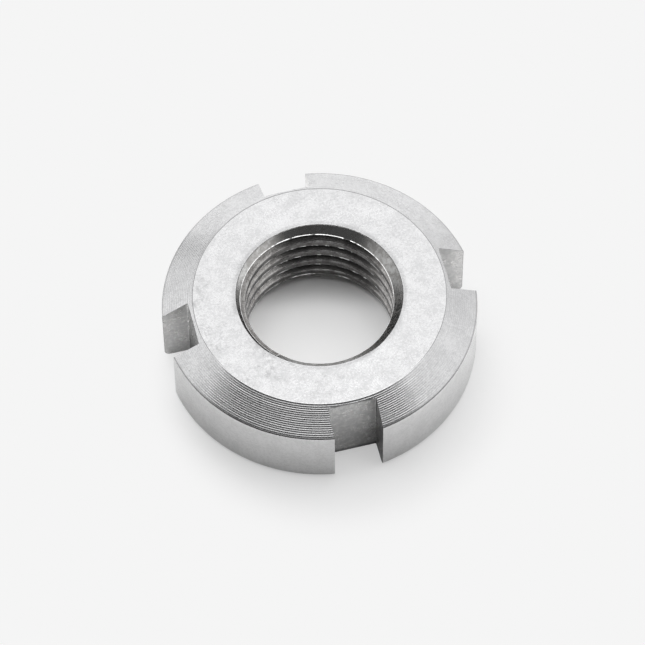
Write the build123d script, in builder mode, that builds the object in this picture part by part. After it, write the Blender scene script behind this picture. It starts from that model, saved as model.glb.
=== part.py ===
from build123d import *

import os
from math import radians, tan

# Slotted round nut, lying on its clamping face with the chamfered face up.
# Millimetres. The origin is the centre of the clamping face, +Z is the thread axis.

# Turned body
outer_diameter = 27.0
thickness = 7.7
face_diameter = 21.75  # rim of the flat left inside the chamfer
chamfer_angle = 30.0  # slope of the chamfer below the flat, in degrees
edge_radius = 0.6  # rounding of the outer edge at the clamping face

# Threaded hole, cut to its minor diameter: M14 x 1.5, right-hand
thread_diameter = 14.0
thread_depth = 0.65  # from the minor to the nominal diameter, radially
mouth_relief = 0.15  # the countersinks open past the nominal diameter, radially
countersink_angle = 45.0  # slope of the countersinks below the faces: 90 degrees included

# Milled spanner slots, open to the rim and to both faces
slot_count = 4
slot_width = 4.2
slot_depth = 2.45

# Sizes that follow from the ones above
outer_radius = outer_diameter / 2
face_radius = face_diameter / 2
chamfer_height = (outer_radius - face_radius) * tan(radians(chamfer_angle))
bore_radius = thread_diameter / 2 - thread_depth
mouth_radius = thread_diameter / 2 + mouth_relief
countersink_depth = (mouth_radius - bore_radius) * tan(radians(countersink_angle))

with BuildPart() as slotted_nut:
    # Blank: one revolved section with the bore, its countersinks, the two faces and the chamfer
    with BuildSketch(Plane.XZ) as section:
        with BuildLine():
            Polyline(
                (bore_radius, countersink_depth),
                (mouth_radius, 0),
                (outer_radius, 0),
                (outer_radius, thickness - chamfer_height),
                (face_radius, thickness),
                (mouth_radius, thickness),
                (bore_radius, thickness - countersink_depth),
                close=True,
            )
        make_face()
    revolve(axis=Axis.Z)

    # Rounded outer edge at the clamping face, the largest of the round edges there
    round_edges = slotted_nut.edges().filter_by(GeomType.CIRCLE)
    fillet(round_edges.group_by(Axis.Z)[0].sort_by(SortBy.RADIUS)[-1], radius=edge_radius)

    # Spanner slots: flat floors square to the radius, flanks parallel to it
    with BuildSketch(Plane.XY):
        with PolarLocations(outer_radius, slot_count):
            Rectangle(2 * slot_depth, slot_width)
    extrude(amount=thickness, mode=Mode.SUBTRACT)

slotted_nut.part.label = "slotted_nut"

os.makedirs("parts", exist_ok=True)
export_step(slotted_nut.part, "parts/slotted_nut.step")
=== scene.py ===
import logging
import math
import random
from abc import ABC, abstractmethod
from collections.abc import Callable, Sequence
from dataclasses import dataclass
from enum import Enum

import bpy
from mathutils import Matrix, Vector

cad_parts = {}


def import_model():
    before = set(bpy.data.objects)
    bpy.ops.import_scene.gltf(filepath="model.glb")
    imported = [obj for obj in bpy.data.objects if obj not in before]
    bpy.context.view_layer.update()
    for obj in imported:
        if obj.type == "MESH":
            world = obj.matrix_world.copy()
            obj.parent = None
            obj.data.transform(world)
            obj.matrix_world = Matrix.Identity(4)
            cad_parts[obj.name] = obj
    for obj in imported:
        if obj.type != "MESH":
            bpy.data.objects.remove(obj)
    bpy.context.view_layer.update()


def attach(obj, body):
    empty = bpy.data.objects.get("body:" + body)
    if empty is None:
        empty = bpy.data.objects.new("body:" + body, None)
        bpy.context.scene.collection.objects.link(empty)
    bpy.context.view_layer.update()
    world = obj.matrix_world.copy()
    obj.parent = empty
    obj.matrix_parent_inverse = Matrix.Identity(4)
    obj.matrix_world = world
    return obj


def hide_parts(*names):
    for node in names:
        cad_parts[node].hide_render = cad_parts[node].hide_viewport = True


# Slotted round nut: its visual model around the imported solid, with studio and camera.
# The nut is modelled in millimetres and scaled to metres when it is whole.

LOG = logging.getLogger("slotted_nut")
MM = 0.001
WELD = 1e-4
FULL_TURN = 2 * math.pi
CAMERA_SIDE = math.radians(-13.73)
BACKDROP = 0.913
ORIGIN = (0.0, 0.0, 0.0)
Z_AXIS = (0.0, 0.0, 1.0)

Point = tuple[float, float]
Range = tuple[float, float]
Direction = tuple[float, float, float]
Rgb = tuple[float, float, float]
Socket = bpy.types.NodeSocket
Sockets = bpy.types.bpy_prop_collection


def arc(low: float, high: float) -> Range:
    """Turns a range of angles from degrees into radians."""
    return math.radians(low), math.radians(high)


def towards(bearing: float) -> Direction:
    """Gives the level direction at a bearing, in degrees to the right of the front slot."""
    return math.sin(math.radians(bearing)), -math.cos(math.radians(bearing)), 0.0


class Lay(Enum):
    """The way that tool marks run on a surface."""

    RINGS = "rings round the axis"
    UPRIGHT = "lines along the axis"
    NONE = "no marks"


class Surface(Enum):
    """The differently finished surfaces of the nut."""

    FACED = "faced_steel"
    CHAMFERED = "turned_chamfer_steel"
    RIM = "turned_rim_steel"
    SLOT_FLOOR = "milled_floor_steel"
    SLOT_FLANK = "milled_flank_steel"
    COUNTERSUNK = "countersunk_steel"
    THREADED = "cut_thread_steel"


# Operators


def only(piece: bpy.types.Object) -> None:
    """Selects one object and nothing else, and makes it the active one.

    Args:
        piece: The object to select.
    """
    bpy.ops.object.select_all(action="DESELECT")
    piece.select_set(True)
    bpy.context.view_layer.objects.active = piece


def edit(piece: bpy.types.Object) -> None:
    """Opens an object in edit mode with all of its vertices selected.

    Args:
        piece: The object to edit.
    """
    only(piece)
    bpy.ops.object.mode_set(mode="EDIT")
    bpy.ops.mesh.select_mode(type="VERT")
    bpy.ops.mesh.select_all(action="SELECT")


def leave_edit() -> None:
    """Goes back to object mode."""
    bpy.ops.object.mode_set(mode="OBJECT")


def draw_outline(name: str, points: Sequence[Point], closed: bool) -> bpy.types.Object:
    """Draws a chain of edges in the XZ plane by extruding one vertex from point to point.

    Args:
        name: Name of the new object.
        points: Radius and height of each point.
        closed: Whether the last point is joined to the first.

    Returns:
        The object, left in edit mode with all of it selected.
    """
    bpy.ops.mesh.primitive_plane_add(size=1.0, location=ORIGIN)
    piece = bpy.context.object
    piece.name = name
    edit(piece)
    bpy.ops.mesh.merge(type="CENTER")
    here = (0.0, 0.0)
    for number, point in enumerate([*points, points[0]] if closed else points):
        step = (point[0] - here[0], 0.0, point[1] - here[1])
        if number == 0:
            bpy.ops.transform.translate(value=step)
        else:
            bpy.ops.mesh.extrude_vertices_move(TRANSFORM_OT_translate={"value": step})
        here = point
    bpy.ops.mesh.select_all(action="SELECT")
    if closed:
        bpy.ops.mesh.remove_doubles(threshold=WELD)
        bpy.ops.mesh.select_all(action="SELECT")
    return piece


def weld(distance: float) -> None:
    """Merges vertices that meet, and turns the faces outwards.

    Args:
        distance: How close two vertices have to be.
    """
    bpy.ops.mesh.select_all(action="SELECT")
    bpy.ops.mesh.remove_doubles(threshold=distance)
    bpy.ops.mesh.normals_make_consistent(inside=False)


def apply_boolean(piece: bpy.types.Object, tool: bpy.types.Object) -> None:
    """Cuts a tool's solid out of a piece, and removes the tool.

    Args:
        piece: The object to cut.
        tool: The solid that is taken away; its cut faces bring its material.
    """
    only(piece)
    modifier = piece.modifiers.new("cut", "BOOLEAN")
    modifier.operation = "DIFFERENCE"
    modifier.solver = "EXACT"
    modifier.material_mode = "TRANSFER"
    modifier.object = tool
    bpy.ops.object.modifier_apply(modifier=modifier.name)
    bpy.data.objects.remove(tool)


# Outlines


@dataclass(frozen=True)
class Corner:
    """A corner of a turned section: its radius from the axis, its height, and its rounding."""

    r: float
    z: float
    rounding: float = 0.0
    steps: int = 3


def rounded(corners: Sequence[Corner], support: float, closed: bool = True) -> list[list[Point]]:
    """Rounds the corners of an outline.

    Args:
        corners: The corners in order.
        support: Distance from a rounding at which a further point keeps the shading flat.
        closed: Whether the last corner joins the first; if not, the two ends stay as they are.

    Returns:
        For each corner, the points that stand for it.
    """
    groups: list[list[Point]] = []
    count = len(corners)
    for number, corner in enumerate(corners):
        here = Vector((corner.r, corner.z))
        end = not closed and number in (0, count - 1)
        if corner.rounding <= 0 or end:
            groups.append([(corner.r, corner.z)])
            continue
        before, after = corners[number - 1], corners[(number + 1) % count]
        back = (Vector((before.r, before.z)) - here).normalized()
        ahead = (Vector((after.r, after.z)) - here).normalized()
        half = back.angle(ahead) / 2
        reach = corner.rounding / math.tan(half)
        centre = here + (back + ahead).normalized() * corner.rounding / math.sin(half)
        first, last = here + back * reach - centre, here + ahead * reach - centre
        sweep = math.pi - 2 * half
        points = [here + back * (reach + support)]
        for step in range(corner.steps + 1):
            share = step / corner.steps
            blend = first * math.sin((1 - share) * sweep) + last * math.sin(share * sweep)
            points.append(centre + blend / math.sin(sweep))
        points.append(here + ahead * (reach + support))
        groups.append([(p.x, p.y) for p in points])
    return groups


# Shader nodes


class Board:
    """Adds nodes to one node tree and links them."""

    def __init__(self, tree: bpy.types.NodeTree) -> None:
        """Empties the tree to work on."""
        self.tree = tree
        tree.nodes.clear()

    def add(self, kind: str, inputs: dict | None = None, **settings: object) -> bpy.types.Node:
        """Adds a node.

        Args:
            kind: The node's type, without the word ShaderNode in front.
            inputs: Value, or socket to link from, for each input, by name or number.
            **settings: Properties of the node itself.

        Returns:
            The node.
        """
        node = self.tree.nodes.new("ShaderNode" + kind)
        for key, value in settings.items():
            setattr(node, key, value)
        for key, value in (inputs or {}).items():
            if isinstance(value, Socket):
                self.tree.links.new(value, node.inputs[key])
            else:
                node.inputs[key].default_value = value
        return node

    def math(self, operation: str, *values: object) -> Socket:
        """Adds a Math node on numbers or sockets, and gives its output."""
        return self.add("Math", dict(enumerate(values)), operation=operation).outputs[0]

    def product(self, first: object, *others: object) -> Socket:
        """Multiplies two or more numbers or sockets."""
        for other in others:
            first = self.math("MULTIPLY", first, other)
        return first

    def vector(self, operation: str, inputs: dict, output: int | str = 0) -> Socket:
        """Adds a Vector Math node, and gives the output of that number or name."""
        return self.add("VectorMath", inputs, operation=operation).outputs[output]

    def blend(self, share: object, low: object, high: object) -> Socket:
        """Mixes two numbers: a share of 0 gives the low one and 1 the high one."""
        return self.add("Mix", {0: share, 2: low, 3: high}, data_type="FLOAT").outputs[0]

    def blend_colours(self, share: object, low: Rgb | Socket, high: Rgb | Socket) -> Socket:
        """Mixes two colours: a share of 0 gives the low one and 1 the high one."""
        low, high = (ink if isinstance(ink, Socket) else (*ink, 1.0) for ink in (low, high))
        return self.add("Mix", {0: share, 6: low, 7: high}, data_type="RGBA").outputs[2]

    def ramp(
        self, value: object, low: float, high: float, to_low: float = 0.0, to_high: float = 1.0
    ) -> Socket:
        """Turns the range of values from low to high into another one, with soft ends."""
        inputs = {"Value": value, "From Min": low, "From Max": high, "To Min": to_low, "To Max": to_high}
        return self.add("MapRange", inputs, interpolation_type="SMOOTHSTEP").outputs["Result"]

    def noise(self, place: Socket, size: float | Socket, detail: float = 2.0, rough: float = 0.5) -> Socket:
        """Adds a noise pattern.

        Args:
            place: The coordinates.
            size: Size of its features in metres.
            detail: Number of finer layers.
            rough: Strength of the finer layers.

        Returns:
            The pattern, about 0.5 on average.
        """
        scale = self.math("DIVIDE", 1.0, size) if isinstance(size, Socket) else 1 / size
        inputs = {"Vector": place, "Scale": scale, "Detail": detail, "Roughness": rough}
        return self.add("TexNoise", inputs).outputs[0]

    def bump(self, height: Socket, depth: float, normal: Socket | None = None) -> Socket:
        """Adds a Bump node.

        Args:
            height: The relief, from 0 to 1.
            depth: What 1 stands for, in metres.
            normal: The surface that it lies on, if that isn't the plain one.

        Returns:
            The normal.
        """
        inputs = {"Strength": 1.0, "Distance": depth, "Height": height}
        if normal is not None:
            inputs["Normal"] = normal
        return self.add("Bump", inputs).outputs[0]

    def group(self, tree: bpy.types.NodeTree, place: Socket, **numbers: float) -> Socket:
        """Adds a node group, with the numbers that it reads, and gives its output."""
        return self.add("Group", {"Place": place, **numbers}, node_tree=tree).outputs[0]

    def along(self, place: Socket, direction: Direction | Socket) -> Socket:
        """Works out how far a place lies in a direction."""
        return self.vector("DOT_PRODUCT", {0: place, 1: direction}, "Value")

    def radius(self, place: Socket) -> Socket:
        """Works out how far a place is from the nut's axis."""
        flat = self.vector("MULTIPLY", {0: place, 1: (1.0, 1.0, 0.0)})
        return self.vector("LENGTH", {0: flat}, "Value")

    def turned(self, way: Socket) -> Socket:
        """Turns a direction or place about the axis, so that Y points away from the camera's side."""
        inputs = {"Vector": way, "Angle": -CAMERA_SIDE}
        return self.add("VectorRotate", inputs, rotation_type="Z_AXIS").outputs[0]


def open_group(name: str, inputs: dict[str, float], output: str) -> tuple[Board, Sockets]:
    """Starts a shader node group that reads a place and some numbers and puts out one number.

    Args:
        name: The group's name.
        inputs: Default value of each number that it reads.
        output: The name of what it puts out.

    Returns:
        The board of its nodes, and the sockets of what it reads.
    """
    tree = bpy.data.node_groups.new(name, "ShaderNodeTree")
    tree.interface.new_socket("Place", in_out="INPUT", socket_type="NodeSocketVector")
    for label, value in inputs.items():
        socket = tree.interface.new_socket(label, in_out="INPUT", socket_type="NodeSocketFloat")
        socket.default_value = value
    tree.interface.new_socket(output, in_out="OUTPUT", socket_type="NodeSocketFloat")
    board = Board(tree)
    return board, tree.nodes.new("NodeGroupInput").outputs


def close_group(board: Board, result: Socket) -> bpy.types.NodeTree:
    """Ends a shader node group with what it puts out, and gives the group."""
    board.tree.links.new(result, board.tree.nodes.new("NodeGroupOutput").inputs[0])
    return board.tree


@dataclass(frozen=True)
class FeedMarks:
    """The spiral marks that a turning tool leaves, one round per feed. Millimetres."""

    wander: float = 0.2
    wander_size: float = 2.5
    patch_size: float = 3.0
    patches: Range = (0.35, 0.65)

    def group(self) -> bpy.types.NodeTree:
        """Makes the node group.

        Returns:
            The group; its output is a height from 0 to 1.
        """
        board, given = open_group("feed_marks", {"Feed": 0.2 * MM, "Patchiness": 0.5}, "Height")
        place = given["Place"]
        parts = board.add("SeparateXYZ", {0: place}).outputs
        turn = board.math("DIVIDE", board.math("ARCTAN2", parts[1], parts[0]), FULL_TURN)
        wander = board.product(board.noise(place, self.wander_size * MM, 1.0), self.wander)
        feeds = board.math("DIVIDE", board.radius(place), given["Feed"])
        rounds = board.math("ADD", board.math("ADD", feeds, turn), wander)
        wave = board.math("SINE", board.product(rounds, FULL_TURN))
        patches = board.ramp(board.noise(place, self.patch_size * MM), *self.patches)
        depth = board.blend(given["Patchiness"], 1.0, patches)
        return close_group(board, board.product(board.math("MULTIPLY_ADD", wave, 0.5, 0.5), depth))


@dataclass(frozen=True)
class Speckle:
    """The fine, uneven grain of bare cut steel, with clouds some times as large as a grain."""

    detail: float = 3.0
    rough: float = 0.6
    cloud_size: float = 5.88
    cloud_share: float = 0.6
    contrast: Range = (0.3, 0.7)

    def group(self) -> bpy.types.NodeTree:
        """Makes the node group.

        Returns:
            The group; its output is a share from 0 to 1.
        """
        board, given = open_group("steel_speckle", {"Size": 0.4 * MM}, "Share")
        place, size = given["Place"], given["Size"]
        grains = board.noise(place, size, self.detail, self.rough)
        clouds = board.noise(place, board.product(size, self.cloud_size))
        mixed = board.math("MULTIPLY_ADD", board.math("SUBTRACT", clouds, 0.5), self.cloud_share, grains)
        return close_group(board, board.ramp(mixed, *self.contrast))


@dataclass(frozen=True)
class EdgeFinder:
    """Finds the sharp edges in uneven stretches, for the painted highlight on burnished edges and for painted
    edge shade. Millimetres.
    """

    samples: int = 16
    agreement: Range = (0.993, 0.97)
    past_reach: Range = (-0.05, 0.02)
    tilt: Range = (-0.08, 0.08)
    patch_size: float = 0.7
    patch_detail: float = 3.0
    patch_rough: float = 0.6
    patches: Range = (0.38, 0.58)
    least: float = 0.45

    def group(self) -> bpy.types.NodeTree:
        """Makes the node group.

        Returns:
            The group; its output is 1 on an edge and 0 away from edges.
        """
        inputs = {"Width": 0.1 * MM, "Upper": 1.0, "Reach": 7.0 * MM}
        board, given = open_group("edge_highlight_and_shade", inputs, "Share")
        place = given["Place"]
        bevelled = board.add("Bevel", {"Radius": given["Width"]}, samples=self.samples).outputs[0]
        straight = board.add("NewGeometry").outputs["Normal"]
        edge = board.ramp(board.along(bevelled, straight), *self.agreement)
        past = board.math("SUBTRACT", board.radius(place), given["Reach"])
        in_reach = board.ramp(past, self.past_reach[0] * MM, self.past_reach[1] * MM, 1.0, 0.0)
        upwards = board.ramp(board.add("SeparateXYZ", {0: bevelled}).outputs[2], *self.tilt)
        facing = board.blend(upwards, 1.0, given["Upper"])
        pattern = board.noise(place, self.patch_size * MM, self.patch_detail, self.patch_rough)
        patches = board.ramp(pattern, *self.patches, self.least, 1.0)
        return close_group(board, board.product(edge, facing, patches, in_reach))


@dataclass(frozen=True)
class SteelGroups:
    """The node groups that the steel's materials share."""

    feed_marks: bpy.types.NodeTree
    speckle: bpy.types.NodeTree
    edges: bpy.types.NodeTree


# Finishes


class Tone(ABC):
    """Something that makes the steel lighter or darker in places. Millimetres."""

    @abstractmethod
    def level(self, board: Board, place: Socket, groups: SteelGroups) -> Socket:
        """Works out the factor by which the colour changes.

        Args:
            board: The material's nodes.
            place: Object coordinates.
            groups: The shared node groups.

        Returns:
            The factor, which is 1 where nothing changes.
        """


@dataclass(frozen=True)
class PaintedShading(Tone):
    """Painted light and shade across the nut: along a direction, between two distances, to a level; a level
    above 1 paints light and below 1 paints shade.
    """

    along: Direction
    start: float
    end: float
    reached: float

    def level(self, board: Board, place: Socket, groups: SteelGroups) -> Socket:
        """Works out the factor of this painted light or shade, as Tone says."""
        return board.ramp(board.along(place, self.along), self.start * MM, self.end * MM, 1.0, self.reached)


@dataclass(frozen=True)
class PaintedShadeLine(Tone):
    """A fine line of painted shade round the axis, from one radius to another, darker at the back or at the
    front.
    """

    start: float
    end: float
    back_level: float
    front_level: float
    turns: Range
    front: Direction = towards(-13.9)

    def level(self, board: Board, place: Socket, groups: SteelGroups) -> Socket:
        """Works out the line's factor, as Tone says."""
        ahead = board.along(place, self.front)
        low, high = self.turns
        drawn = board.ramp(ahead, low * MM, high * MM, self.back_level, self.front_level)
        return board.blend(board.ramp(board.radius(place), self.start * MM, self.end * MM), 1.0, drawn)


@dataclass(frozen=True)
class DarkCrestsAndGrooveShade(Tone):
    """The thread darker on its crests, and painted shade deep in its grooves."""

    crests: float
    grooves: float
    radii: tuple[float, float, float] = (6.37, 6.42, 6.6)

    def level(self, board: Board, place: Socket, groups: SteelGroups) -> Socket:
        """Works out the factor of the darker crests and the painted groove shade, as Tone says."""
        radius = board.radius(place)
        crest, flank, groove = (edge * MM for edge in self.radii)
        on_crests = board.ramp(radius, crest, flank, 1 - self.crests, 1.0)
        return board.product(on_crests, board.ramp(radius, flank, groove, 1.0, 1 - self.grooves))


@dataclass(frozen=True)
class Scuffs(Tone):
    """Small dull patches, most of them on the side that lay against other parts, and a brushed mouth."""

    strength: float = 0.24
    side: Direction = towards(-67)
    fade: Range = (1.0, 9.0)
    far_share: float = 0.25
    spot_size: float = 0.5
    spot_detail: float = 3.0
    spot_rough: float = 0.7
    spots: Range = (0.42, 0.72)
    cloud_size: float = 2.2
    clouds: Range = (0.4, 0.62)
    mouth_wear: float = 0.2
    mouth: Range = (7.28, 7.62)
    brush_size: float = 1.4
    brush_detail: float = 3.0
    brushed: Range = (0.3, 0.6)
    brushed_least: float = 0.4

    def level(self, board: Board, place: Socket, groups: SteelGroups) -> Socket:
        """Works out the patches' factor, as Tone says."""
        (near, far), (inner, outer) = self.fade, self.mouth
        reach = board.ramp(board.along(place, self.side), near * MM, far * MM, self.far_share, 1.0)
        pattern = board.noise(place, self.spot_size * MM, self.spot_detail, self.spot_rough)
        spots = board.ramp(pattern, *self.spots)
        clouds = board.ramp(board.noise(place, self.cloud_size * MM), *self.clouds)
        worn = board.product(spots, clouds, reach, self.strength)
        mouth = board.ramp(board.radius(place), inner * MM, outer * MM, self.mouth_wear, 0.0)
        streaks = board.noise(place, self.brush_size * MM, self.brush_detail)
        brushed = board.product(mouth, board.ramp(streaks, *self.brushed, self.brushed_least, 1.0))
        return board.math("SUBTRACT", 1.0, board.math("ADD", worn, brushed))


@dataclass(frozen=True)
class EdgeShade(Tone):
    """Painted shade in a narrow band along every sharp edge."""

    width: float
    strength: float

    def level(self, board: Board, place: Socket, groups: SteelGroups) -> Socket:
        """Works out the painted shade's factor, as Tone says."""
        found = board.group(groups.edges, place, Width=self.width * MM, Reach=1.0)
        return board.math("SUBTRACT", 1.0, board.product(found, self.strength))


@dataclass(frozen=True)
class BurnishedEdgeHighlight:
    """Burnished burrs with a painted highlight on the sharp edges within a radius, less on those that face
    up: their normals turn up and their colour is lightened. Millimetres.
    """

    strength: float
    width: float
    upper: float = 1.0
    reach: float = 7.0
    polished_highlight: Rgb = (0.75, 0.75, 0.75)

    def share(self, board: Board, place: Socket, groups: SteelGroups) -> Socket:
        """Says how strongly a place is burnished and has the painted highlight, from 0 to 1."""
        numbers = {"Width": self.width * MM, "Upper": self.upper, "Reach": self.reach * MM}
        return board.product(board.group(groups.edges, place, **numbers), self.strength)


@dataclass(frozen=True)
class SteelFinish:
    """A finish of bare bright steel, as one tool leaves it, with the painted light and shade of its tones and
    edge shine. Lengths are in millimetres.
    """

    surface: Surface
    bright: Rgb
    dull: Rgb
    roughness: Range = (0.26, 0.36)
    grain_size: float = 0.35
    grain_depth: float = 0.002
    lay: Lay = Lay.NONE
    feed: float = 0.15
    feed_depth: float = 0.0015
    patchiness: float = 0.85
    squeeze: float = 0.06
    tones: tuple[Tone, ...] = ()
    shine: BurnishedEdgeHighlight | None = None

    def marks(self, board: Board, place: Socket, groups: SteelGroups) -> Socket:
        """Lays the tool marks.

        Args:
            board: The material's nodes.
            place: Object coordinates.
            groups: The shared node groups.

        Returns:
            The marks' height from 0 to 1.
        """
        if self.lay is Lay.RINGS:
            return board.group(groups.feed_marks, place, Feed=self.feed * MM, Patchiness=self.patchiness)
        upright = board.add("Mapping", {"Vector": place, "Scale": (1.0, 1.0, self.squeeze)}).outputs[0]
        return board.noise(upright, self.feed * MM)

    def material(self, groups: SteelGroups) -> bpy.types.Material:
        """Makes the material.

        Args:
            groups: The shared node groups.

        Returns:
            The material.
        """
        material = bpy.data.materials.new(self.surface.value)
        material.use_nodes = True
        board = Board(material.node_tree)
        place = board.add("TexCoord").outputs["Object"]
        share = board.group(groups.speckle, place, Size=self.grain_size * MM)
        colour = board.blend_colours(share, self.dull, self.bright)
        low, high = self.roughness
        roughness = board.blend(share, high, low)
        normal = board.bump(share, self.grain_depth * MM)
        if self.lay is not Lay.NONE:
            normal = board.bump(self.marks(board, place, groups), self.feed_depth * MM, normal)
        for tone in self.tones:
            colour = board.vector("SCALE", {0: colour, "Scale": tone.level(board, place, groups)})
        # Burnished edges: normals turned up, and the colour lightened as a painted highlight.
        if self.shine is not None:
            worn = self.shine.share(board, place, groups)
            blunt = board.add("Mix", {0: worn, 4: normal, 5: Z_AXIS}, data_type="VECTOR").outputs[1]
            normal = board.vector("NORMALIZE", {0: blunt})
            colour = board.blend_colours(worn, colour, self.shine.polished_highlight)
        look = {"Base Color": colour, "Metallic": 1.0, "Roughness": roughness, "Normal": normal}
        shader = board.add("BsdfPrincipled", look)
        board.add("OutputMaterial", {"Surface": shader.outputs[0]})
        return material


FINISHES: tuple[SteelFinish, ...] = (
    SteelFinish(
        Surface.FACED,
        bright=(0.6, 0.6, 0.605),
        dull=(0.465, 0.465, 0.47),
        roughness=(0.22, 0.32),
        grain_size=0.18,
        lay=Lay.RINGS,
        feed=0.13,
        feed_depth=0.0026,
        # Painted shade: a dark line along the face's rim, everywhere but at the front.
        tones=(PaintedShadeLine(10.77, 10.8, 0.5, 1.0, (5.0, 9.0)), Scuffs()),
    ),
    SteelFinish(
        Surface.CHAMFERED,
        bright=(0.6, 0.6, 0.605),
        dull=(0.515, 0.515, 0.52),
        roughness=(0.21, 0.29),
        grain_size=0.22,
        grain_depth=0.0007,
        # Painted shade: a dark line where the chamfer meets the rim, darkest at the front.
        tones=(PaintedShadeLine(13.34, 13.39, 0.75, 0.38, (2.0, 11.0)),),
    ),
    SteelFinish(
        Surface.RIM,
        bright=(0.67, 0.67, 0.67),
        dull=(0.59, 0.59, 0.59),
        roughness=(0.16, 0.2),
        grain_size=0.25,
        # Painted light on the rim at 46 degrees right of the front slot, and painted shade at 76 degrees.
        tones=(PaintedShading(towards(46.2), 10.0, 13.2, 1.12), PaintedShading(towards(76.1), 12.95, 13.4, 0.93)),
    ),
    SteelFinish(
        Surface.SLOT_FLOOR,
        bright=(0.68, 0.675, 0.67),
        dull=(0.5, 0.5, 0.5),
        lay=Lay.UPRIGHT,
        feed_depth=0.003,
        # Painted shade: the front slot's floor darker to its right, the left slot's floor darker, each floor
        # darker at its foot as a contact shadow and along its top edge, and along its edges.
        tones=(
            PaintedShading(towards(29.9), 9.3, 11.3, 0.6),
            PaintedShading(towards(-90), 8.0, 10.5, 0.6),
            PaintedShading(Z_AXIS, 0.6, 0.1, 0.4),
            PaintedShading(Z_AXIS, 7.3, 7.5, 0.45),
            EdgeShade(0.14, 0.6),
        ),
    ),
    SteelFinish(
        Surface.SLOT_FLANK,
        bright=(0.68, 0.675, 0.67),
        dull=(0.56, 0.56, 0.56),
        lay=Lay.UPRIGHT,
        # Painted shade on the front slot's flanks and along every flank edge; painted light towards the left
        # slot.
        tones=(
            PaintedShading(towards(0), 8.0, 10.5, 0.5),
            PaintedShading(towards(-119.9), 0.0, 11.0, 1.26),
            EdgeShade(0.1, 0.6),
        ),
    ),
    SteelFinish(
        Surface.COUNTERSUNK,
        bright=(0.57, 0.57, 0.565),
        dull=(0.38, 0.37, 0.36),
        roughness=(0.2, 0.32),
        grain_size=0.4,
        grain_depth=0.0012,
        # Painted light on the countersink at 46 degrees right of the front slot; its edge shine is burnished
        # edges with a painted highlight.
        tones=(PaintedShading(towards(46.2), 4.6, 6.4, 1.4),),
        shine=BurnishedEdgeHighlight(0.9, 0.14),
    ),
    SteelFinish(
        Surface.THREADED,
        bright=(0.44, 0.43, 0.42),
        dull=(0.2, 0.19, 0.185),
        roughness=(0.16, 0.26),
        grain_size=0.12,
        grain_depth=0.003,
        # Painted shade deep in the grooves and at the back of the thread, painted light at 46 degrees right
        # of the front slot, and burnished crest edges with a painted highlight.
        tones=(
            DarkCrestsAndGrooveShade(crests=0.5, grooves=0.3),
            PaintedShading(towards(46.2), 5.0, 6.6, 1.4),
            PaintedShading(towards(166.1), 4.6, 6.2, 0.72),
        ),
        shine=BurnishedEdgeHighlight(0.73, 0.28, upper=0.25, reach=6.48),
    ),
)


@dataclass(frozen=True)
class FeedGrooves:
    """The grooves that the turning tool leaves on the chamfer, one beside the other. Millimetres."""

    count: int = 16
    depth: float = 0.0124
    spread: float = 0.15
    seed: int = 7
    places: tuple[float, ...] = (0.0, 0.22, 0.5, 0.78)

    def points(self, start: Point, end: Point) -> list[Point]:
        """Lays the grooves along a straight run, cut in to its right.

        Args:
            start: Radius and height where the grooves start.
            end: Radius and height where they end.

        Returns:
            The points between the two.
        """
        draw = random.Random(self.seed)
        first = Vector(start)
        run = Vector(end) - first
        inward = Vector((-run.y, run.x)).normalized()
        found = []
        for number in range(self.count):
            depth = self.depth * (1 + self.spread * draw.uniform(-1, 1))
            for share in self.places:
                if number == 0 and share == 0.0:
                    continue  # the run's own start stands there
                sink = 4 * depth * share * (1 - share)
                point = first + run * (number + share) / self.count + inward * sink
                found.append((point.x, point.y))
        return found


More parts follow.
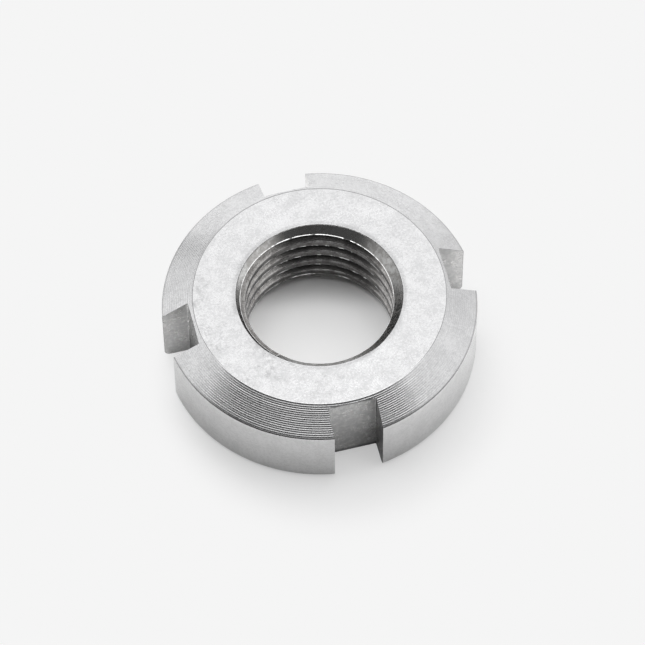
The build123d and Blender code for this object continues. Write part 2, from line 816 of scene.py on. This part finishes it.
@dataclass(frozen=True)
class TurnedBlank:
    """The body as it leaves the lathe, before milling and threading. Sizes are in millimetres."""

    outer_radius: float = 13.5
    thickness: float = 7.7
    face_radius: float = 10.875
    chamfer_slope: float = math.radians(30)
    edge_rounding: float = 0.6
    edge_steps: int = 8
    shoulder_rounding: float = 0.14
    shoulder_steps: int = 6
    rim_rounding: float = 0.09
    rim_steps: int = 4
    mouth_rounding: float = 0.02
    pilot_radius: float = 6.2
    mouth_radius: float = 7.15
    lip: Point = (7.125, 7.6)
    countersink_slope: float = math.radians(47.5)
    break_bearing: float = math.radians(-103.7)
    break_half_width: float = math.radians(64)
    break_width: float = 0.16
    break_depth: float = 0.03
    break_margin: float = 0.06
    break_passes: int = 8
    break_narrows: float = 0.8
    steps: int = 128
    support: float = 0.01
    grooves: FeedGrooves = FeedGrooves()

    def section(self) -> list[Point]:
        """Works out half of the section through the axis, in order.

        Returns:
            Radius and height of each point.
        """
        shoulder = self.thickness - (self.outer_radius - self.face_radius) * math.tan(self.chamfer_slope)
        lip_radius, lip_height = self.lip
        pilot_top = lip_height - (lip_radius - self.pilot_radius) * math.tan(self.countersink_slope)
        groups = rounded(
            (
                Corner(self.pilot_radius, self.thickness - pilot_top),
                Corner(lip_radius, self.thickness - lip_height, self.mouth_rounding),
                Corner(self.mouth_radius, 0.0, self.mouth_rounding),
                Corner(self.outer_radius, 0.0, self.edge_rounding, self.edge_steps),
                Corner(self.outer_radius, shoulder, self.shoulder_rounding, self.shoulder_steps),
                Corner(self.face_radius, self.thickness, self.rim_rounding, self.rim_steps),
                Corner(self.mouth_radius, self.thickness, self.mouth_rounding),
                Corner(lip_radius, lip_height, self.mouth_rounding),
                Corner(self.pilot_radius, pilot_top),
            ),
            self.support,
        )
        shoulder_end, rim_start = groups[4][-1], groups[5][0]
        groups.insert(5, self.grooves.points(shoulder_end, rim_start))
        return [point for group in groups for point in group]

    def build(self, name: str) -> bpy.types.Object:
        """Draws the section and spins it round the axis.

        Args:
            name: Name of the new object.

        Returns:
            The closed blank, in object mode.
        """
        piece = draw_outline(name, self.section(), closed=True)
        bpy.ops.mesh.spin(steps=self.steps, angle=FULL_TURN, center=ORIGIN, axis=Z_AXIS)
        weld(WELD)
        leave_edit()
        self.break_mouth(piece)
        return piece

    def break_mouth(self, piece: bpy.types.Object) -> None:
        """Widens the broken edge of the mouth on one side, pass by pass over a shorter arc.

        Args:
            piece: The blank.
        """
        middle = Vector((math.cos(self.break_bearing), math.sin(self.break_bearing)))
        step = middle * self.break_width / self.break_passes
        low = self.thickness - self.break_depth
        inner = self.mouth_radius - self.break_margin
        outer = self.mouth_radius + self.break_width + self.break_margin
        for number in range(self.break_passes):
            edit(piece)
            bpy.ops.mesh.select_all(action="DESELECT")
            leave_edit()
            half = self.break_half_width * (1 - self.break_narrows * number / self.break_passes)
            for vertex in piece.data.vertices:
                flat = vertex.co.xy
                mouth = inner < flat.length < outer and vertex.co.z > low
                vertex.select = mouth and flat.angle(middle) < half
            bpy.ops.object.mode_set(mode="EDIT")
            bpy.ops.transform.translate(value=(step.x, step.y, 0.0))
            leave_edit()


@dataclass(frozen=True)
class SlotCutter:
    """The milling cutter's path through the rim, once for each spanner slot. Millimetres."""

    count: int = 4
    width: float = 4.2
    floor_radius: float = 11.05
    reach: float = 3.5
    height: tuple[float, float] = (-1.0, 8.7)
    corner_rounding: float = 0.1
    corner_steps: int = 6

    def build_one(self) -> bpy.types.Object:
        """Models the cutter's path through one slot, with rounded corners at the slot's floor.

        Returns:
            The cutter, in object mode.
        """
        low, high = self.height
        middle = (self.floor_radius + self.reach / 2, 0.0, (low + high) / 2)
        bpy.ops.mesh.primitive_cube_add(size=1.0, location=middle, scale=(self.reach, self.width, high - low))
        first = bpy.context.object
        first.name = "slot_cutter"
        bpy.ops.object.transform_apply(location=True, rotation=True, scale=True)
        edit(first)
        bpy.ops.mesh.select_all(action="DESELECT")
        bpy.ops.mesh.select_mode(type="EDGE")
        leave_edit()
        vertices = first.data.vertices
        for edge in first.data.edges:
            ends = [vertices[number].co for number in edge.vertices]
            upright = abs(ends[0].z - ends[1].z) > self.width
            edge.select = upright and ends[0].x < self.floor_radius + WELD
        bpy.ops.object.mode_set(mode="EDIT")
        bpy.ops.mesh.bevel(offset=self.corner_rounding, segments=self.corner_steps)
        leave_edit()
        return first

    def build(self) -> bpy.types.Object:
        """Models one cutter, copies it round the axis and joins the copies.

        Returns:
            The cutters as one object.
        """
        first = self.build_one()
        cutters = [first]
        for number in range(1, self.count):
            only(first)
            bpy.ops.object.duplicate()
            copy = bpy.context.object
            edit(copy)
            turn = number * FULL_TURN / self.count
            bpy.ops.transform.rotate(value=turn, orient_axis="Z", center_override=ORIGIN)
            leave_edit()
            cutters.append(copy)
        for cutter in cutters:
            cutter.select_set(True)
        bpy.context.view_layer.objects.active = first
        bpy.ops.object.join()
        return first


@dataclass(frozen=True)
class ThreadTap:
    """The solid that cuts the thread: bore, helical ridge and crests in one. Millimetres."""

    pitch: float = 1.5
    minor_radius: float = 6.35
    nominal_radius: float = 7.0
    flank: float = math.radians(30)
    root_width: float = 0.17
    crest_rounding: float = 0.04
    root_rounding: float = 0.06
    corner_steps: int = 4
    support: float = 0.02
    crest_height: float = 1.042
    steps: int = 150
    turns: int = 9
    turns_below: int = 3
    low: float = -1.0
    high: float = 8.7
    blunt_from: float = math.radians(-136)
    blunt_arc: float = math.radians(101)
    blunt_steps: int = 30
    blunt_height: float = 6.86
    blunt_gap: float = 0.01
    clearance: float = 1.0

    def blunt_end(self) -> bpy.types.Object:
        """Models the space at the end of the thread that the cutter leaves standing.

        Returns:
            A closed segment of a ring, in object mode.
        """
        inner, outer = self.minor_radius + self.blunt_gap, self.nominal_radius + self.clearance
        top = self.high + self.clearance
        corners = [(inner, self.blunt_height), (outer, self.blunt_height), (outer, top), (inner, top)]
        piece = draw_outline("thread_end", corners, closed=True)
        bpy.ops.mesh.edge_face_add()
        bpy.ops.transform.rotate(value=-self.blunt_from, orient_axis="Z", center_override=ORIGIN)
        bpy.ops.mesh.spin(steps=self.blunt_steps, angle=-self.blunt_arc, center=ORIGIN, axis=Z_AXIS)
        weld(WELD)
        leave_edit()
        return piece

    def profile(self) -> list[Point]:
        """Works out one pitch of the thread, from the middle of a crest to the next.

        Returns:
            Radius and height of each point.
        """
        rise = (self.nominal_radius - self.minor_radius) * math.tan(self.flank)
        crest = self.pitch / 2 - self.root_width / 2 - rise
        start = self.crest_height - self.turns_below * self.pitch
        steps = self.corner_steps
        corners = (
            Corner(self.minor_radius, 0.0),
            Corner(self.minor_radius, crest, self.crest_rounding, steps),
            Corner(self.nominal_radius, crest + rise, self.root_rounding, steps),
            Corner(self.nominal_radius, self.pitch - crest - rise, self.root_rounding, steps),
            Corner(self.minor_radius, self.pitch - crest, self.crest_rounding, steps),
            Corner(self.minor_radius, self.pitch),
        )
        groups = rounded(corners, self.support, closed=False)
        return [(r, z + start) for group in groups for r, z in group]

    def build(self) -> bpy.types.Object:
        """Winds the profile up the axis, trims it beyond both faces and closes it.

        Returns:
            The closed solid, in object mode.
        """
        piece = draw_outline("thread_tap", self.profile(), closed=False)
        leave_edit()
        screw = piece.modifiers.new("helix", "SCREW")
        screw.axis = "Z"
        screw.angle = FULL_TURN
        screw.screw_offset = self.pitch
        screw.iterations = self.turns
        screw.steps = screw.render_steps = self.steps
        bpy.ops.object.modifier_apply(modifier=screw.name)
        edit(piece)
        bpy.ops.mesh.remove_doubles(threshold=WELD)
        for height, above in ((self.low, False), (self.high, True)):
            bpy.ops.mesh.select_all(action="SELECT")
            bpy.ops.mesh.bisect(
                plane_co=(0.0, 0.0, height),
                plane_no=Z_AXIS,
                use_fill=True,
                clear_inner=not above,
                clear_outer=above,
            )
        weld(WELD)
        leave_edit()
        apply_boolean(piece, self.blunt_end())
        return piece


@dataclass
class SlottedNut:
    """The whole nut: blank, spanner slots and thread, each surface with its own finish."""

    blank: TurnedBlank = TurnedBlank()
    cutter: SlotCutter = SlotCutter()
    tap: ThreadTap = ThreadTap()
    faced_within: float = math.radians(10)
    chamfered_within: float = math.radians(48)
    floor_within: float = math.radians(50)
    smooth_below: float = math.radians(19)

    def materials(self) -> dict[Surface, bpy.types.Material]:
        """Makes the material of each surface."""
        groups = SteelGroups(FeedMarks().group(), Speckle().group(), EdgeFinder().group())
        return {finish.surface: finish.material(groups) for finish in FINISHES}

    def surface_of(self, centre: Vector, normal: Vector) -> Surface:
        """Says which finish a face of the blank has.

        Args:
            centre: The face's middle.
            normal: The face's direction.

        Returns:
            The finish.
        """
        if centre.xy.length < self.blank.mouth_radius:
            return Surface.COUNTERSUNK
        if abs(normal.z) > math.cos(self.faced_within):
            return Surface.FACED
        if normal.z > math.cos(self.chamfered_within):
            return Surface.CHAMFERED
        return Surface.RIM

    def milled_surface(self, centre: Vector, normal: Vector) -> Surface:
        """Says which finish a face of a spanner slot has, from its middle and its direction."""
        outwards = abs(centre.xy.normalized().dot(normal.xy))
        return Surface.SLOT_FLOOR if outwards > math.cos(self.floor_within) else Surface.SLOT_FLANK

    def cut_surface(self, centre: Vector, normal: Vector) -> Surface:
        """Says that every face of the thread has the thread's finish."""
        return Surface.THREADED

    def dress(
        self,
        piece: bpy.types.Object,
        pick: Callable[[Vector, Vector], Surface],
        made: dict[Surface, bpy.types.Material],
    ) -> None:
        """Gives a piece all the materials and sets the right one on each face.

        Args:
            piece: The object to dress.
            pick: Says which surface a face belongs to.
            made: The materials by surface.
        """
        order = list(made)
        piece.data.materials.clear()
        for surface in order:
            piece.data.materials.append(made[surface])
        for face in piece.data.polygons:
            face.material_index = order.index(pick(face.center, face.normal))

    def build(self) -> bpy.types.Object:
        """Turns, mills and threads the nut, and scales it to metres.

        Returns:
            The finished piece.
        """
        made = self.materials()
        piece = self.blank.build("slotted_nut_body")
        self.dress(piece, self.surface_of, made)
        LOG.info("blank: %d faces", len(piece.data.polygons))
        slots = self.cutter.build()
        self.dress(slots, self.milled_surface, made)
        apply_boolean(piece, slots)
        LOG.info("with slots: %d faces", len(piece.data.polygons))
        thread = self.tap.build()
        self.dress(thread, self.cut_surface, made)
        apply_boolean(piece, thread)
        LOG.info("with thread: %d faces", len(piece.data.polygons))
        edit(piece)
        bpy.ops.transform.resize(value=(MM, MM, MM), center_override=ORIGIN)
        leave_edit()
        bpy.ops.object.shade_smooth_by_angle(angle=self.smooth_below)
        return piece


@dataclass
class PhotoCamera:
    """The camera as solved from the photograph's circles and corners. Lengths in metres."""

    azimuth: float = CAMERA_SIDE
    elevation: float = math.radians(57.975)
    roll: float = math.radians(-0.739)
    distance: float = 0.347
    aim_right: float = 0.000204
    aim_up: float = 0.001677
    sensor: float = 36.0
    focal_length: float = 223.26
    clip: Range = (0.01, 5.0)

    def build(self) -> None:
        """Places the camera and makes it the scene's own."""
        turn = (
            Matrix.Rotation(self.azimuth, 3, "Z")
            @ Matrix.Rotation(math.pi / 2 - self.elevation, 3, "X")
            @ Matrix.Rotation(self.roll, 3, "Z")
        )
        place = turn @ Vector((self.aim_right, self.aim_up, self.distance))
        bpy.ops.object.camera_add(location=place, rotation=turn.to_euler())
        camera = bpy.context.object
        camera.name = "photo_camera"
        camera.data.sensor_width = self.sensor
        camera.data.lens = self.focal_length
        camera.data.clip_start, camera.data.clip_end = self.clip
        bpy.context.scene.camera = camera


@dataclass
class Floor:
    """The pale floor, with the nut's soft shadow close to it, painted shade near the nut in what the steel
    reflects, and painted light inside the nut's hole. Lengths in metres.
    """

    radius: float = 1.6
    corners: int = 128
    colour: float = 0.9
    under_nut: Range = (0.008, 0.012)
    shadow_centre: Point = (0.0015, -0.0035)
    shadow_reach: Range = (0.0122, 0.0168)
    shadow_share: Range = (0.5, 0.01)
    # Painted shade: near the nut the floor is darker in reflections, within these reaches of a centre.
    reflected_shade_centre: Point = (-0.0001, -0.0035)
    reflected_shade_reach: Range = (0.01, 0.0155)
    reflected_shade_colour: Range = (0.81, 1.0)
    # Painted light: the floor inside the nut's hole glows, most on its near side, for the camera and in
    # reflections.
    hole_painted_light: float = 0.15
    hole_painted_light_reach: Range = (0.0056, 0.0028)

    def round_spot(self, board: Board, place: Socket, centre: Point, reach: Range, values: Range) -> Socket:
        """Lays a soft round spot, centred to the right of the axis and away from the camera's side."""
        middle = Matrix.Rotation(CAMERA_SIDE, 3, "Z") @ Vector((*centre, 0.0))
        return board.ramp(board.vector("DISTANCE", {0: place, 1: middle}, "Value"), *reach, *values)

    def dress(self, board: Board) -> None:
        """Makes the floor's material.

        Args:
            board: The material's nodes.
        """
        rays = board.add("LightPath").outputs
        eye, glossy = rays["Is Camera Ray"], rays["Is Glossy Ray"]
        place = board.add("TexCoord").outputs["Object"]
        outside = board.ramp(board.vector("LENGTH", {0: place}, "Value"), *self.under_nut)
        share = self.round_spot(board, place, self.shadow_centre, self.shadow_reach, self.shadow_share)
        # Painted shade: a darker spot of floor near the nut, seen only by glossy rays.
        spot = self.round_spot(board, place, self.reflected_shade_centre, self.reflected_shade_reach, self.reflected_shade_colour)
        other = board.blend(glossy, self.colour, board.blend(outside, 1.0, spot))
        colour = board.blend(eye, other, board.blend(outside, 1.0, share))
        # Painted light in the hole; outside the nut the glow is the lift that keeps the floor evenly pale.
        depth = board.add("SeparateXYZ", {0: board.turned(place)}).outputs[1]
        painted_hole_light = board.ramp(depth, *self.hole_painted_light_reach, 0.0, self.hole_painted_light)
        glow = board.blend(outside, painted_hole_light, board.math("SUBTRACT", BACKDROP, share))
        mirrored_hole = board.product(glossy, board.math("SUBTRACT", 1.0, outside))
        shader = board.add(
            "BsdfPrincipled",
            {
                "Base Color": colour,
                "Roughness": 1.0,
                "Specular IOR Level": 0.0,
                "Emission Strength": board.product(glow, board.math("MAXIMUM", eye, mirrored_hole)),
            },
        )
        board.add("OutputMaterial", {"Surface": shader.outputs[0]})

    def build(self) -> None:
        """Lays the floor."""
        bpy.ops.mesh.primitive_circle_add(
            vertices=self.corners, radius=self.radius, fill_type="NGON", location=ORIGIN
        )
        floor = bpy.context.object
        floor.name = "floor"
        material = bpy.data.materials.new("pale_floor")
        material.use_nodes = True
        self.dress(Board(material.node_tree))
        floor.data.materials.append(material)


@dataclass(frozen=True)
class Gap:
    """A darker upright strip of the tent. Angles are in degrees, bearings from the camera's side."""

    bearing: float
    half_width: float
    top: float
    soft: float
    level: float

    def tone(self, board: Board, bearing: Socket, height: Socket) -> Socket:
        """Works out by what the gap scales the tent's light.

        Args:
            board: The world's nodes.
            bearing: Bearing of a direction, seen from the camera's side.
            height: Its elevation.

        Returns:
            The gap's level inside it and 1 outside.
        """
        turned = board.math("SUBTRACT", bearing, math.radians(self.bearing))
        aside = board.math("ABSOLUTE", board.math("WRAP", turned, math.pi, -math.pi))
        across = board.ramp(aside, *arc(self.half_width, self.half_width + self.soft), 1.0, 0.0)
        upright = board.ramp(height, *arc(self.top, self.top + self.soft), 1.0, 0.0)
        return board.math("SUBTRACT", 1.0, board.product(across, upright, 1 - self.level))


@dataclass(frozen=True)
class DarkRoom:
    """The dark room behind the camera, which widens from low down to high up. Angles in radians."""

    level: float = 0.085
    widens: Range = arc(12, 48)
    middle: Range = arc(-4.5, -7.5)
    half_width: Range = arc(53, 75.5)
    side_edge: Range = arc(-6, 6)
    top_edge: Range = arc(66, 75)

    def outside(self, board: Board, bearing: Socket, height: Socket) -> Socket:
        """Works out where the room ends.

        Args:
            board: The world's nodes.
            bearing: Bearing of a direction, seen from the camera's side.
            height: Its elevation.

        Returns:
            0 in the room and 1 outside.
        """
        half = board.ramp(height, *self.widens, *self.half_width)
        middle = board.ramp(height, *self.widens, *self.middle)
        aside = board.math("ABSOLUTE", board.math("SUBTRACT", bearing, middle))
        past_side = board.ramp(board.math("SUBTRACT", aside, half), *self.side_edge)
        return board.math("MAXIMUM", past_side, board.ramp(height, *self.top_edge))


@dataclass
class Tent:
    """A bright tent with a lamp overhead, as the world's light; depths run from front to rear."""

    depth: Range = (-0.2, 0.8)
    light: Range = (1.1, 1.45)
    lamp_edge: Range = arc(63, 71)
    lamp_depth: Range = (-0.25, 0.12)
    lamp_light: Range = (1.3, 3.2)
    room: DarkRoom = DarkRoom()
    gaps: tuple[Gap, ...] = (
        Gap(-139, 6, 26, 12, 0.76),
        Gap(-145, 1.5, 18, 4, 0.15),
        Gap(133, 13, 34, 14, 0.73),
        Gap(-97, 24, 6, 14, 0.5),
        Gap(-70, 8, 20, 8, 0.6),
    )

    def build(self) -> None:
        """Makes the tent's light as the world, which the camera sees as a plain backdrop."""
        world = bpy.context.scene.world or bpy.data.worlds.new("studio")
        bpy.context.scene.world = world
        world.use_nodes = True
        board = Board(world.node_tree)
        way = board.turned(board.add("TexCoord").outputs["Generated"])
        right, rear, up = board.add("SeparateXYZ", {0: way}).outputs
        height = board.math("ARCSINE", up)
        bearing = board.math("ARCTAN2", right, board.math("MULTIPLY", rear, -1.0))
        level = board.ramp(rear, *self.depth, *self.light)
        for gap in self.gaps:
            level = board.product(level, gap.tone(board, bearing, height))
        lamp = board.ramp(rear, *self.lamp_depth, *self.lamp_light)
        level = board.blend(board.ramp(height, *self.lamp_edge), level, lamp)
        level = board.blend(self.room.outside(board, bearing, height), self.room.level, level)
        light = board.add("Background", {"Color": level, "Strength": 1.0})
        backdrop = board.add("Background", {"Color": (BACKDROP, BACKDROP, BACKDROP, 1.0), "Strength": 1.0})
        eye = board.add("LightPath").outputs["Is Camera Ray"]
        mixed = board.add("MixShader", {0: eye, 1: light.outputs[0], 2: backdrop.outputs[0]})
        board.add("OutputWorld", {"Surface": mixed.outputs[0]})


def main() -> None:
    """Loads the frame, builds the camera, the studio and the nut."""
    logging.basicConfig(level=logging.INFO, format="%(name)s: %(message)s")
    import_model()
    PhotoCamera().build()
    Floor().build()
    Tent().build()
    nut = SlottedNut().build()
    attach(nut, "root")
    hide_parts("slotted_nut")
    LOG.info("piece: %s, %d faces", nut.name, len(nut.data.polygons))
    bpy.context.scene.view_settings.view_transform = "Standard"


if __name__ == "__main__":
    main()
